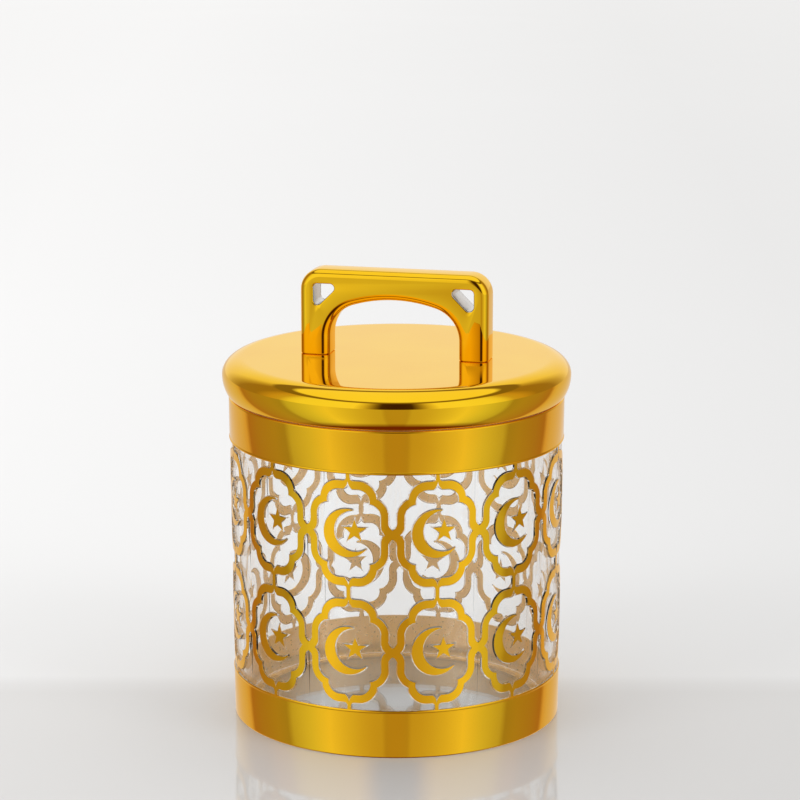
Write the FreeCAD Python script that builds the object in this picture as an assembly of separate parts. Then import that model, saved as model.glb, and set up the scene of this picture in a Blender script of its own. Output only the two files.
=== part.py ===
"""A clear snack jar with raised, gilded medallions, and a plated lid with an arched handle.

Millimetres, +Z up. The origin is the centre of the foot's underside, and the handle runs along X.
"""
import FreeCAD
import Part

import math
import os

# Jar
rim_radius = 50.0  # the gilded surface at the rim
foot_taper = 1.0  # by which the same surface is drawn in at the foot
wall = 2.4  # behind the ground
floor_thickness = 3.0
floor_round = 4.0
foot_height = 1.0
foot_width = 3.4
foot_round = 0.6
rim_round = 0.5

# Gilding and relief
foil = 0.2
upper_band_height = 12.8
lower_band_height = 13.4
ground_depth = 0.6  # the clear ground lies this far below the gilded bands
relief_height = 0.8  # of a medallion over the ground

# Medallions
columns = 12
row_names = ("lower", "upper")
medallion_height = 35.2
ornament_turn = -3.0  # degrees from the front to the nearest medallion's middle

# A quarter of a medallion's frame, as (across, up) shares of the cell's half width and half height.
# A step of one point is straight, and a step of two is an arc by way of the first.
frame_outside_shares = (
    ((0.042, 0.940),),
    ((0.064, 0.900), (0.118, 0.884)),
    ((0.237, 0.884),),
    ((0.519, 0.802), (0.652, 0.599)),
    ((0.836, 0.481), (0.905, 0.307)),
    ((0.905, 0.193),),
    ((0.930, 0.124), (1.000, 0.074)),
)
frame_inside_shares = (
    ((0.000, 0.878),),
    ((0.035, 0.798), (0.098, 0.747)),
    ((0.237, 0.747),),
    ((0.427, 0.682), (0.494, 0.511)),
    ((0.673, 0.442), (0.745, 0.301)),
    ((0.745, 0.148),),
    ((0.770, 0.064), (0.840, 0.000)),
)

# The crescent is a disc less a second disc, and the star stands in the second one's middle.
crescent_radius_share = 0.560
crescent_centre_shares = (-0.020, 0.004)
hollow_radius_share = 0.478
hollow_centre_shares = (0.150, 0.046)
star_radius_share = 0.235
star_valley_share = 0.40  # of the star's own radius
star_points = 5

# Lid cover
lid_inset = 0.1  # of its lower edge from the gilded surface
lid_gap = 0.15  # from its lower edge to the rim
lid_bulge = 2.0
belly_height = 6.4  # rim to the widest level
crown_height = 5.15  # widest level to the flat top
crown_run = 6.5
lid_wall = 2.0
ledge_width = 0.8

# Liner
plug_depth = 9.0
plug_clearance = 0.4
plug_round = 1.0
liner_wall = 2.0
liner_floor = 1.5
flange_reach = 1.2  # past the mouth
flange_height = 2.0
snap_clearance = 0.1
bead_radius = 0.4

# Seal
groove_drop = 3.0
groove_height = 2.6
groove_depth = 0.9
seal_gap = 0.05
seal_clearance = 0.15
seal_lip_share = 0.25  # of the seal's height, from its edge to the nearer lip

# Handle
handle_width = 57.0
handle_height = 25.65
handle_depth = 10.0
leg_width = 8.9
bar_height = 8.6
arch_rise = 11.5
haunch_radius = 10.0
handle_corner = 6.3
handle_edge = 1.8
window_margin = 4.2
window_leg = 8.7
window_round = 1.3

# Handle's fixings
peg_radius = 2.8
peg_clearance = 0.1
peg_shortfall = 0.2  # the peg ends short of the cover's underside, so that the washer clamps
screw_radius = 1.45
screw_grip = 9.0  # length in the leg
screw_head_radius = 2.7
screw_head_height = 1.8
screw_slot_width = 0.8
screw_slot_depth = 0.9
washer_radius = 4.4
washer_thickness = 0.8
washer_clearance = 0.2

overrun = 2.0  # of every cut past the surface that it opens
fuzz = 1e-6  # length below which two points are one

# Worked out
up = FreeCAD.Vector(0, 0, 1)
centre = FreeCAD.Vector(0, 0, 0)
column_angle = 360 / columns
foot_radius = rim_radius - foot_taper
first_angle = ornament_turn
field_low = foot_height + lower_band_height
field_high = field_low + len(row_names) * medallion_height
jar_height = field_high + upper_band_height


def gilded_radius(height):
    """Radius of the gilded surface, which tapers from rim to foot."""
    return foot_radius + (rim_radius - foot_radius) * height / jar_height


def ground_radius(height):
    """Radius of the clear ground between the medallions."""
    return gilded_radius(height) - ground_depth


def bore_radius(height):
    """Radius inside the jar."""
    return ground_radius(height) - wall


def passage_radius(height):
    """Radius of what passes down the mouth to a height, before its clearance."""
    return min(bore_radius(height), bore_radius(jar_height))


mouth_radius = bore_radius(jar_height)
plug_bottom = jar_height - plug_depth
plug_radius = passage_radius(plug_bottom) - plug_clearance
flange_radius = mouth_radius + flange_reach
flange_top = jar_height + flange_height
groove_top = jar_height - groove_drop
groove_bottom = groove_top - groove_height
groove_radius = plug_radius - groove_depth
lid_edge_radius = rim_radius - lid_inset
widest_radius = lid_edge_radius + lid_bulge
widest_level = jar_height + belly_height
lid_top = widest_level + crown_height
lid_under = lid_top - lid_wall
cover_bore = flange_radius + snap_clearance
leg_middle = (handle_width - leg_width) / 2
washer_bottom = lid_under - washer_thickness


def at(across, height):
    """A point in the XZ plane, where every outline is drawn."""
    return FreeCAD.Vector(across, 0, height)


def path(steps):
    """Edges along steps: one point is straight, two are an arc by way of the first."""
    edges = []
    here = steps[0][-1]
    for step in steps[1:]:
        there = step[-1]
        if len(step) == 1:
            edges.append(Part.LineSegment(here, there).toShape())
        else:
            edges.append(Part.Arc(here, step[0], there).toShape())
        here = there
    return edges


def rounded(corners):
    """A closed wire through corners of (across, height, radius)."""
    count = len(corners)
    points = [at(across, height) for across, height, _ in corners]
    turns = []
    for place, (_, _, radius) in enumerate(corners):
        here = points[place]
        back = (points[place - 1] - here).normalize()
        on = (points[(place + 1) % count] - here).normalize()
        half = back.getAngle(on) / 2
        reach = radius / math.tan(half)
        middle = here + (back + on).normalize() * (radius / math.sin(half) - radius)
        turns.append((here + back * reach, middle, here + on * reach))
    edges = []
    for place, (first, middle, last) in enumerate(turns):
        before = turns[place - 1][2]
        if (first - before).Length > fuzz:
            edges.append(Part.LineSegment(before, first).toShape())
        if (last - first).Length > fuzz:
            edges.append(Part.Arc(first, middle, last).toShape())
    return Part.Wire(edges)


def turned(wire):
    """The wire's face, turned a full circle about Z."""
    return Part.Face(wire).revolve(centre, up, 360)


def sharp(*points):
    """Corners without rounding."""
    return [(across, height, 0) for across, height in points]


# Relief


def mirrored_wire(edges):
    """A closed wire from the edges of its upper right quarter."""
    right = edges + [edge.mirror(centre, up) for edge in edges]
    left = [edge.mirror(centre, FreeCAD.Vector(1, 0, 0)) for edge in right]
    return Part.Wire(Part.__sortEdges__(right + left))


def frame_face(half_width, half_height):
    """A frame, with its neck and arms run past the cell."""

    def scaled(shares):
        return [[at(a * half_width, h * half_height) for a, h in step] for step in shares]

    outside = scaled(frame_outside_shares)
    neck = outside[0][-1]
    arm = outside[-1][-1]
    outside.insert(0, [at(neck.x, half_height + overrun)])
    outside.insert(0, [at(0, half_height + overrun)])
    outside.append([at(half_width + overrun, arm.z)])
    outside.append([at(half_width + overrun, 0)])
    inside = scaled(frame_inside_shares)
    return Part.Face(mirrored_wire(path(outside))).cut(Part.Face(mirrored_wire(path(inside))))


def disc(radius, middle):
    """A round face in the XZ plane."""
    return Part.Face(Part.Wire(Part.makeCircle(radius, middle, FreeCAD.Vector(0, -1, 0))))


def crescent_face(half_width, half_height):
    """A crescent that opens up and to the right."""
    across, height = crescent_centre_shares
    body = disc(crescent_radius_share * half_width, at(across * half_width, height * half_height))
    across, height = hollow_centre_shares
    hollow = disc(hollow_radius_share * half_width, at(across * half_width, height * half_height))
    return body.cut(hollow)


def star_face(half_width, half_height):
    """A star with one point up."""
    across, height = hollow_centre_shares
    middle = at(across * half_width, height * half_height)
    tip = star_radius_share * half_width
    step = math.pi / star_points
    points = []
    for place in range(2 * star_points):
        radius = tip * star_valley_share if place % 2 else tip
        points.append(middle + at(radius * math.sin(place * step), radius * math.cos(place * step)))
    return Part.Face(Part.makePolygon(points + points[:1]))


def relief_layer(low, high):
    """One column's slice of the layer that the medallions stand in, facing -Y."""
    ring = rounded(sharp(
        (ground_radius(low), low),
        (ground_radius(low) + relief_height, low),
        (ground_radius(high) + relief_height, high),
        (ground_radius(high), high),
    ))
    piece = Part.Face(ring).revolve(centre, up, column_angle)
    piece.rotate(centre, up, -90 - column_angle / 2)
    return piece


def medallion(row):
    """The frame, crescent and star of the front medallion of a row."""
    low = field_low + row * medallion_height
    high = low + medallion_height
    middle = (low + high) / 2
    half_width = gilded_radius(middle) * math.sin(math.radians(column_angle / 2))
    relief = relief_layer(low, high)
    solids = []
    for face_of in (frame_face, crescent_face, star_face):
        face = face_of(half_width, medallion_height / 2)
        face.translate(FreeCAD.Vector(0, 0, middle))
        prism = face.extrude(FreeCAD.Vector(0, -max(rim_radius, foot_radius) - overrun, 0))
        solids += prism.common(relief).Solids
    return solids


def around(solids, column):
    """Copies of a front medallion's solids, turned to a column."""
    copies = []
    for solid in solids:
        copy = solid.copy()
        copy.rotate(centre, up, first_angle + column * column_angle)
        copies.append(copy)
    return copies


# Jar


def jar_body():
    """The clear cup: foot ring, seats for the bands, and the ground between them."""
    foil_seat = [
        (gilded_radius(height) - foil, height) for height in (0, field_low, field_high, jar_height)
    ]
    foot_inner = foot_radius - foot_width
    return turned(rounded([
        (0, foot_height, 0),
        (foot_inner, foot_height, foot_round / 2),
        (foot_inner, 0, 0),
        (*foil_seat[0], foot_round),
        (*foil_seat[1], 0),
        (ground_radius(field_low), field_low, 0),
        (ground_radius(field_high), field_high, 0),
        (*foil_seat[2], 0),
        (*foil_seat[3], rim_round),
        (mouth_radius, jar_height, rim_round),
        (bore_radius(floor_thickness), floor_thickness, floor_round),
        (0, floor_thickness, 0),
    ]))


def band_foil(low, high):
    """A gold band on the jar's gilded surface."""
    return turned(rounded(sharp(
        (gilded_radius(low) - foil, low),
        (gilded_radius(low), low),
        (gilded_radius(high), high),
        (gilded_radius(high) - foil, high),
    )))


# Lid


def quarter_ellipse(radius, flat_radius, low, high):
    """An edge that rounds a turned shape's shoulder from its side to its flat top."""
    middle = at(flat_radius, low)
    ellipse = Part.Ellipse(at(radius, low), at(flat_radius, high), middle)
    return Part.ArcOfEllipse(ellipse, 0, math.pi / 2).toShape()


def lid_cover():
    """The plated cover: a hollow shell with a bulging edge and holes for the handle's pegs."""
    edge_level = jar_height + lid_gap
    flat_radius = widest_radius - crown_run
    drop = widest_level - edge_level
    belly_radius = (lid_bulge ** 2 + drop ** 2) / (2 * lid_bulge)
    sweep = math.asin(drop / belly_radius) / 2
    belly_middle = at(
        widest_radius - belly_radius * (1 - math.cos(sweep)),
        widest_level - belly_radius * math.sin(sweep),
    )
    inner_radius = cover_bore - ledge_width
    edges = path([
        [at(0, lid_under)],
        [at(0, lid_top)],
        [at(flat_radius, lid_top)],
    ])
    edges.append(quarter_ellipse(widest_radius, flat_radius, widest_level, lid_top))
    edges += path([
        [at(widest_radius, widest_level)],
        [belly_middle, at(lid_edge_radius, edge_level)],
        [at(cover_bore, edge_level)],
        [at(cover_bore, flange_top)],
        [at(inner_radius, flange_top)],
        [at(inner_radius, widest_level)],
    ])
    inner_flat = inner_radius - crown_run
    edges.append(quarter_ellipse(inner_radius, inner_flat, widest_level, lid_under))
    edges += path([[at(inner_flat, lid_under)], [at(0, lid_under)]])
    shell = turned(Part.Wire(Part.__sortEdges__(edges)))
    cuts = [bead(bead_radius + snap_clearance)]
    for side in (-1, 1):
        cuts.append(Part.makeCylinder(
            peg_radius + peg_clearance,
            lid_wall + 2 * overrun,
            at(side * leg_middle, lid_under - overrun),
        ))
    return shell.cut(cuts)


def bead(radius):
    """The ring that snaps the liner's flange into the cover."""
    ring = Part.makeTorus(flange_radius, radius)
    ring.translate(FreeCAD.Vector(0, 0, jar_height + flange_height / 2))
    return ring


def lid_liner():
    """The insert that plugs the mouth. Its flange stands on the rim and snaps into the cover."""
    inner_radius = plug_radius - liner_wall
    outline = rounded([
        (0, plug_bottom, 0),
        (plug_radius, plug_bottom, plug_round),
        (plug_radius, groove_bottom, 0),
        (groove_radius, groove_bottom, 0),
        (groove_radius, groove_top, 0),
        (plug_radius, groove_top, 0),
        (plug_radius, jar_height, 0),
        (flange_radius, jar_height, 0),
        (flange_radius, flange_top, 0),
        (inner_radius, flange_top, 0),
        (inner_radius, plug_bottom + liner_floor, 0),
        (0, plug_bottom + liner_floor, 0),
    ])
    return turned(outline).fuse(bead(bead_radius))


def seal_ring():
    """The soft ring in the liner's groove, with two lips towards the jar's wall."""
    low = groove_bottom + seal_gap
    high = groove_top - seal_gap
    lip_radius = passage_radius(groove_bottom) - seal_clearance
    lip = (high - low) * seal_lip_share
    return turned(rounded(sharp(
        (groove_radius, low),
        (plug_radius, low),
        (lip_radius, low + lip),
        (plug_radius, (low + high) / 2),
        (lip_radius, high - lip),
        (plug_radius, high),
        (groove_radius, high),
    )))


# Handle


def slab(wire, depth):
    """A wire's face in the XZ plane, thickened by half the depth to each side."""
    face = Part.Face(wire)
    face.translate(FreeCAD.Vector(0, -depth / 2, 0))
    return face.extrude(FreeCAD.Vector(0, depth, 0))


def finger_opening():
    """The handle's opening: straight legs under an arch of three centres."""
    half = handle_width / 2 - leg_width
    apex = lid_top + handle_height - bar_height
    spring = apex - arch_rise
    offset = half - haunch_radius
    crown_radius = (offset ** 2 + arch_rise ** 2 - haunch_radius ** 2) / (2 * (arch_rise - haunch_radius))
    lean = math.atan2(offset, spring - apex + crown_radius)
    haunch = at(offset, spring)

    def on_haunch(angle):
        return haunch + at(math.sin(angle), math.cos(angle)) * haunch_radius

    def flipped(point):
        return at(-point.x, point.z)

    joint = on_haunch(lean)
    bulge = on_haunch((lean + math.pi / 2) / 2)
    below = lid_top - overrun
    return Part.Wire(path([
        [at(-half, below)],
        [at(half, below)],
        [at(half, spring)],
        [bulge, joint],
        [at(0, apex), flipped(joint)],
        [flipped(bulge), at(-half, spring)],
        [at(-half, below)],
    ]))


def window(side):
    """A rounded triangular window in one of the handle's upper corners."""
    corner = handle_width / 2 - window_margin
    top = lid_top + handle_height - window_margin
    return rounded([
        (side * corner, top, window_round),
        (side * (corner - window_leg), top, window_round),
        (side * corner, top - window_leg, window_round),
    ])


def lid_handle():
    """The plated arch, with a peg under each foot and a hole for its screw."""
    half = handle_width / 2
    top = lid_top + handle_height
    blank = slab(rounded([
        (-half, lid_top, 0),
        (half, lid_top, 0),
        (half, top, handle_corner),
        (-half, top, handle_corner),
    ]), handle_depth).cut(slab(finger_opening(), handle_depth + 2 * overrun))
    face_edges = []
    for edge in blank.Edges:
        place = edge.CenterOfMass
        on_face = abs(abs(place.y) - handle_depth / 2) < fuzz
        if on_face and place.z > lid_top + fuzz:
            face_edges.append(edge)
    arch = blank.makeFillet(handle_edge, face_edges)
    arch = arch.cut([slab(window(side), handle_depth + 2 * overrun) for side in (-1, 1)])
    pegs = []
    holes = []
    peg_bottom = lid_under + peg_shortfall
    for side in (-1, 1):
        foot = at(side * leg_middle, peg_bottom)
        pegs.append(Part.makeCylinder(peg_radius, lid_top - peg_bottom, foot))
        holes.append(Part.makeCylinder(
            screw_radius,
            lid_top + screw_grip - peg_bottom + overrun,
            foot - at(0, overrun),
        ))
    return arch.fuse(pegs).cut(holes).removeSplitter()


def handle_screws():
    """Two pan-head screws, driven up through the cover into the legs."""
    head_bottom = washer_bottom - screw_head_height
    screws = []
    for side in (-1, 1):
        foot = at(side * leg_middle, head_bottom)
        shank = Part.makeCylinder(screw_radius, lid_top + screw_grip - head_bottom, foot)
        head = Part.makeCylinder(screw_head_radius, screw_head_height, foot)
        slot = Part.makeBox(
            2 * screw_head_radius + overrun,
            screw_slot_width,
            screw_slot_depth + overrun,
            foot - FreeCAD.Vector(screw_head_radius + overrun / 2, screw_slot_width / 2, overrun),
        )
        screws.append(shank.fuse(head).cut(slot).removeSplitter())
    return Part.makeCompound(screws)


def handle_washers():
    """A washer over each screw's head, against the cover's underside."""
    washers = []
    for side in (-1, 1):
        foot = at(side * leg_middle, washer_bottom)
        plate = Part.makeCylinder(washer_radius, washer_thickness, foot)
        bore = Part.makeCylinder(
            screw_radius + washer_clearance,
            washer_thickness + 2 * overrun,
            foot - at(0, overrun),
        )
        washers.append(plate.cut(bore))
    return Part.makeCompound(washers)


def main():
    """Writes every piece to its own file."""
    os.makedirs("parts", exist_ok=True)
    pieces = {
        "jar_body": jar_body(),
        "lower_band_foil": band_foil(foot_height, field_low),
        "upper_band_foil": band_foil(field_high, jar_height - rim_round),
        "lid_cover": lid_cover(),
        "lid_liner": lid_liner(),
        "seal_ring": seal_ring(),
        "lid_handle": lid_handle(),
        "handle_screws": handle_screws(),
        "handle_washers": handle_washers(),
    }
    for row, row_name in enumerate(row_names):
        front = medallion(row)
        for column in range(columns):
            name = f"medallion_{row_name}_{column + 1:02d}"
            pieces[name] = Part.makeCompound(around(front, column))
    for name, shape in pieces.items():
        shape.exportStep(f"parts/{name}.step")
        print(name, len(shape.Solids), round(shape.Volume, 1), shape.isValid())


main()
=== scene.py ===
"""Looks of the snack jar: clear ribbed wall, gilded medallions and bands, plated lid and handle.

Metres, +Z up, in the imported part's frame. The handle runs along X, and the front faces -Y.
"""
import math

import bmesh
import bpy
from bpy.props import FloatProperty, FloatVectorProperty, IntProperty, PointerProperty
from mathutils import Matrix, Vector


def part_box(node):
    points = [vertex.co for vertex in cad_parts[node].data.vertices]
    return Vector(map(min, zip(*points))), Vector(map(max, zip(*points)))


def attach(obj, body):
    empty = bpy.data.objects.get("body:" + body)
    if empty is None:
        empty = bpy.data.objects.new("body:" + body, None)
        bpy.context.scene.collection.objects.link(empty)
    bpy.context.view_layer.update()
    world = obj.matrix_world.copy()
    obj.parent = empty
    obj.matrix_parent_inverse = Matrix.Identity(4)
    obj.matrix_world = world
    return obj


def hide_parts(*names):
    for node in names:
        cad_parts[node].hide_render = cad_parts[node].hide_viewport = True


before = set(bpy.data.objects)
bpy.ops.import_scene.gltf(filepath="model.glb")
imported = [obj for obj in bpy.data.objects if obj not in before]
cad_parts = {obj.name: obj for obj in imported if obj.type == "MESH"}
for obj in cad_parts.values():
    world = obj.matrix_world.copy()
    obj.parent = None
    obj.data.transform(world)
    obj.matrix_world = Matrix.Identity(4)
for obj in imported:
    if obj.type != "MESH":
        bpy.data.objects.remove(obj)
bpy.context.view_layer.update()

bl_info = {
    "name": "Snack jar",
    "version": (1, 0, 0),
    "blender": (4, 5, 0),
    "location": "View3D > Sidebar > Snack jar",
    "description": "Builds a clear jar with gilded medallions and a plated lid around its packed solids",
    "category": "Object",
}

MM = 0.001
FUZZ = 1e-7
WELD = 0.03 * MM
TURN = 2 * math.pi
ROUND_STEPS = 240
# The part of a noise's range that most of it lies in
NOISE_MIDDLE = (0.3, 0.7)
ROWS = ("lower", "upper")

# What a face of a medallion's cell belongs to
GROUND, FRAME, CRESCENT, STAR = range(4)
# What an edge of the cell's drawing bounds
OUTSIDE, INSIDE, ENDS, BORDER, MOON, POINTS = range(1, 7)

# A quarter of a medallion's frame, as (across, up) shares of the cell's half width and half height.
# A step of one point is straight, and a step of two is an arc by way of the first.
FRAME_OUTSIDE = (
    ((0.042, 0.940),),
    ((0.064, 0.900), (0.118, 0.884)),
    ((0.237, 0.884),),
    ((0.519, 0.802), (0.652, 0.599)),
    ((0.836, 0.481), (0.905, 0.307)),
    ((0.905, 0.193),),
    ((0.930, 0.124), (1.000, 0.074)),
)
GOLD_CUSP = (
    ((0.000, 0.878),),
    ((0.035, 0.798), (0.098, 0.747)),
)
RIB_CUSP = (
    ((0.000, 0.815),),
    ((0.045, 0.775), (0.098, 0.747)),
)
FRAME_INSIDE = (
    ((0.237, 0.747),),
    ((0.427, 0.682), (0.494, 0.511)),
    ((0.673, 0.442), (0.745, 0.301)),
    ((0.745, 0.148),),
    ((0.770, 0.064), (0.840, 0.000)),
)
# Middles of the crescent's two discs, as shares of the same
CRESCENT_MIDDLE = (-0.020, 0.004)
HOLLOW_MIDDLE = (0.150, 0.046)


def length(name, description, millimetres):
    """A length property, with its default in millimetres."""
    default = millimetres * MM
    return FloatProperty(name=name, description=description, default=default, unit="LENGTH", precision=5)


def share(name, description, default):
    """A property that is a share of another size."""
    return FloatProperty(name=name, description=description, default=default, subtype="FACTOR")


def colour(name, description, default):
    """A colour property, linear."""
    return FloatVectorProperty(
        name=name, description=description, default=default, size=3, subtype="COLOR", max=1,
    )


class JarSizes(bpy.types.PropertyGroup):
    """Sizes of the clear jar and its gilding."""

    rim_radius: length("Rim radius", "Gilded surface at the rim", 50.0)
    foot_radius: length("Foot radius", "Gilded surface at the foot", 49.0)
    ground_depth: length("Ground depth", "Clear ground below the gilded surface", 0.6)
    relief: length("Relief", "Height of the ribs over the ground", 0.45)
    clear_edge: length("Clear edge", "Width of a rib's bare slope beside its gold", 0.30)
    shoulder: share("Shoulder", "Part of the slope that rounds off the rib's top", 0.3)
    shoulder_drop: share("Shoulder drop", "Fall over the shoulder, as a share of the relief", 0.2)
    wall: length("Wall", "Thickness behind the ground", 2.4)
    floor: length("Floor", "Level of the floor inside", 3.0)
    floor_round: length("Floor rounding", "Radius between wall and floor", 4.0)
    foot_height: length("Foot height", "Level of the underside inside the foot ring", 1.0)
    foot_width: length("Foot width", "Width of the foot ring", 3.4)
    foot_round: length("Foot rounding", "Radius of the foot's outer edge", 0.6)
    rim_round: length("Rim rounding", "Radius of the rim's edges", 0.5)
    film: length("Film", "Height of the gold over the plastic, and its depth in it", 0.05)
    bead: length("Bead", "Height of the fine bead along a band's edge", 0.75)
    bead_rise: length("Bead rise", "Height of that bead over the band", 0.14)
    columns: IntProperty(name="Columns", description="Medallions around the jar", default=12)
    ornament_turn: FloatProperty(
        name="Ornament turn",
        description="From the front to the nearest medallion's middle",
        default=math.radians(-3),
        subtype="ANGLE",
    )
    crescent_radius: share("Crescent radius", "Of the cell's half width", 0.560)
    hollow_radius: share("Hollow radius", "Of the cell's half width", 0.478)
    tip_cut: length("Tip cut", "Length taken off the crescent's tips", 0.5)
    star_radius: share("Star radius", "Of the cell's half width", 0.275)
    star_valley: share("Star valley", "Inner radius of the star, of its outer one", 0.40)
    star_points: IntProperty(name="Star points", description="Points of the star", default=5)


class LidSizes(bpy.types.PropertyGroup):
    """Sizes of the plated lid and its handle."""

    edge_inset: length("Edge inset", "Of the cover's lower edge from its widest radius", 2.0)
    belly: length("Belly", "Height from the cover's lower edge to its widest level", 6.25)
    crown: length("Crown", "Height from the widest level to the flat top", 5.15)
    crown_run: length("Crown run", "Width of the rounded shoulder", 6.5)
    under_round: length("Under rounding", "Height of the rounding under the belly", 0.7)
    lip: length("Lip", "Width of the cover's lower edge", 1.6)
    wall: length("Wall", "Thickness of the cover", 2.0)
    leg_width: length("Leg width", "Width of a handle leg", 8.9)
    bar_height: length("Bar height", "Height of the handle's bar at its middle", 8.6)
    arch_rise: length("Arch rise", "Height of the arch over its springing", 11.5)
    haunch: length("Haunch", "Radius at the arch's ends", 10.0)
    corner: length("Corner", "Radius of the handle's upper corners", 6.3)
    edge: length("Edge", "Rounding along the handle's faces", 2.3)
    window_margin: length("Window margin", "From the handle's outline to a window", 4.2)
    window_leg: length("Window leg", "Length of a window's straight sides", 8.2)
    window_round: length("Window rounding", "Radius of a window's corners", 1.3)
    window_edge: length("Window edge", "Bevel around a window", 0.4)


class Finishes(bpy.types.PropertyGroup):
    """Colours of the finishes."""

    gold: colour("Gold", "Plated gold", (0.93, 0.575, 0.012))
    gold_warm: colour("Warm gold", "Plated gold where it is thicker", (0.91, 0.535, 0.009))
    foil: colour("Foil", "Stamped gold foil", (0.92, 0.52, 0.012))
    foil_warm: colour("Warm foil", "Stamped gold foil where it is thicker", (0.88, 0.48, 0.010))
    # Colour of the foil's lacquered back, also given off as a painted glow
    foil_back_and_glow: colour("Foil back", "Lacquered back of the foil, seen through the wall", (0.86, 0.56, 0.24))
    clear: colour("Clear", "Clear plastic", (0.985, 0.99, 0.99))
    silver: colour("Silver", "Walls of the handle's windows", (0.62, 0.61, 0.59))
    liner: colour("Liner", "Liner plastic", (0.80, 0.79, 0.76))
    seal: colour("Seal", "Silicone of the seal", (0.72, 0.72, 0.70))
    steel: colour("Steel", "Zinc-plated steel", (0.56, 0.57, 0.58))
    backdrop: colour("Backdrop", "What shows round the jar", (0.93, 0.925, 0.92))


# Meshes


def flat(across, up):
    """A point in the XZ plane, where every outline is drawn."""
    return Vector((across, 0, up))


def arc_by(first, middle, last):
    """Centre of the arc through three points of the XZ plane, and its angle about +Y."""
    ax, az = first.x - last.x, first.z - last.z
    bx, bz = middle.x - last.x, middle.z - last.z
    double = 2 * (ax * bz - az * bx)
    a2 = ax * ax + az * az
    b2 = bx * bx + bz * bz
    centre = flat(last.x + (bz * a2 - az * b2) / double, last.z + (ax * b2 - bx * a2) / double)
    start = math.atan2(first.x - centre.x, first.z - centre.z)
    stop = math.atan2(last.x - centre.x, last.z - centre.z)
    clockwise = double < 0
    angle = (stop - start) % TURN if clockwise else -((start - stop) % TURN)
    return centre, angle


def draw(bm, start, steps, segment, role=0):
    """Draws edges in the XZ plane from start along steps, and marks them with role."""
    before = set(bm.edges)
    tip = bm.verts.new(start)
    for step in steps:
        if len(step) == 1:
            tip = bmesh.ops.extrude_vert_indiv(bm, verts=[tip])["verts"][0]
            tip.co = step[0]
            continue
        centre, angle = arc_by(tip.co, *step)
        count = max(3, math.ceil(abs(angle) * (tip.co - centre).length / segment))
        made = bmesh.ops.spin(bm, geom=[tip], cent=centre, axis=(0, 1, 0), angle=angle, steps=count)
        tip = made["geom_last"][0]
    drawn = [edge for edge in bm.edges if edge not in before]
    mark = bm.edges.layers.int.get("role")
    if mark:
        for edge in drawn:
            edge[mark] = role
    return drawn


def weld(bm):
    """Merges points that lie on each other."""
    bmesh.ops.remove_doubles(bm, verts=bm.verts, dist=WELD)


def whole(bm):
    """Everything in a mesh."""
    return bm.verts[:] + bm.edges[:] + bm.faces[:]


def points_of(geom):
    """The points among what an operation made."""
    return [item for item in geom if isinstance(item, bmesh.types.BMVert)]


def outward(spot):
    """The level direction from the jar's axis to a point."""
    return Vector((spot.x, spot.y, 0)).normalized()


def spun(bm):
    """A closed mesh from outlines in the XZ plane that start and end on the axis or on themselves."""
    weld(bm)
    bmesh.ops.spin(
        bm, geom=whole(bm), cent=(0, 0, 0), axis=(0, 0, 1), angle=TURN, steps=ROUND_STEPS, use_merge=True,
    )
    weld(bm)
    bmesh.ops.recalc_face_normals(bm, faces=bm.faces)
    return bm


def slab(bm, depth):
    """A closed mesh from closed outlines in the XZ plane, from -depth to depth along Y."""
    weld(bm)
    bmesh.ops.edgenet_fill(bm, edges=bm.edges)
    bmesh.ops.translate(bm, vec=(0, -depth, 0), verts=bm.verts)
    made = bmesh.ops.extrude_face_region(bm, geom=bm.faces[:], use_keep_orig=True)["geom"]
    bmesh.ops.translate(bm, vec=(0, 2 * depth, 0), verts=points_of(made))
    bmesh.ops.recalc_face_normals(bm, faces=bm.faces)


def rounded_steps(corners):
    """The start and steps of a closed outline through corners of (across, up, radius)."""
    count = len(corners)
    points = [flat(across, up) for across, up, _ in corners]
    steps = []
    for place, (_, _, radius) in enumerate(corners):
        here = points[place]
        if radius == 0:
            steps.append((here,))
            continue
        back = (points[place - 1] - here).normalized()
        on = (points[(place + 1) % count] - here).normalized()
        half = back.angle(on) / 2
        reach = radius / math.tan(half)
        middle = here + (back + on).normalized() * (radius / math.sin(half) - radius)
        steps.append((here + back * reach,))
        steps.append((middle, here + on * reach))
    start = steps[-1][-1]
    return start, steps


def smooth(mesh, sharp):
    """Smooths a mesh up to an angle in degrees."""
    mesh.shade_smooth()
    mesh.set_sharp_from_angle(angle=math.radians(sharp))


def stored(name, bm):
    """Keeps a mesh under a name."""
    mesh = bpy.data.meshes.new(name)
    bm.to_mesh(mesh)
    bm.free()
    return mesh


def piece(name, bm, body, nodes, materials, sharp=32):
    """Makes a piece of a mesh: it rides on a body and stands for CAD nodes."""
    mesh = stored(name, bm)
    smooth(mesh, sharp)
    for material in materials:
        mesh.materials.append(material)
    made = bpy.data.objects.new(name, mesh)
    bpy.context.scene.collection.objects.link(made)
    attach(made, body)
    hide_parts(*nodes)
    return made


def mark_backs(bm):
    """Gives the second material to the faces that look at the jar's axis."""
    inward = -0.5
    for face in bm.faces:
        if face.normal.dot(outward(face.calc_center_median())) < inward:
            face.material_index = 1


# The jar's sizes that follow from others

jar_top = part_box("jar_body")[1].z
field_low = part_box("lower_band_foil")[1].z
field_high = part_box("upper_band_foil")[0].z
cell_height = (field_high - field_low) / len(ROWS)


def gilded_radius(jar, height):
    """Radius of the gilded surface, which tapers from rim to foot."""
    return jar.foot_radius + (jar.rim_radius - jar.foot_radius) * height / jar_top


def ground_radius(jar, height):
    """Radius of the clear ground between the ribs."""
    return gilded_radius(jar, height) - jar.ground_depth


def bore_radius(jar, height):
    """Radius inside the jar."""
    return ground_radius(jar, height) - jar.wall


# Ornament


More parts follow.
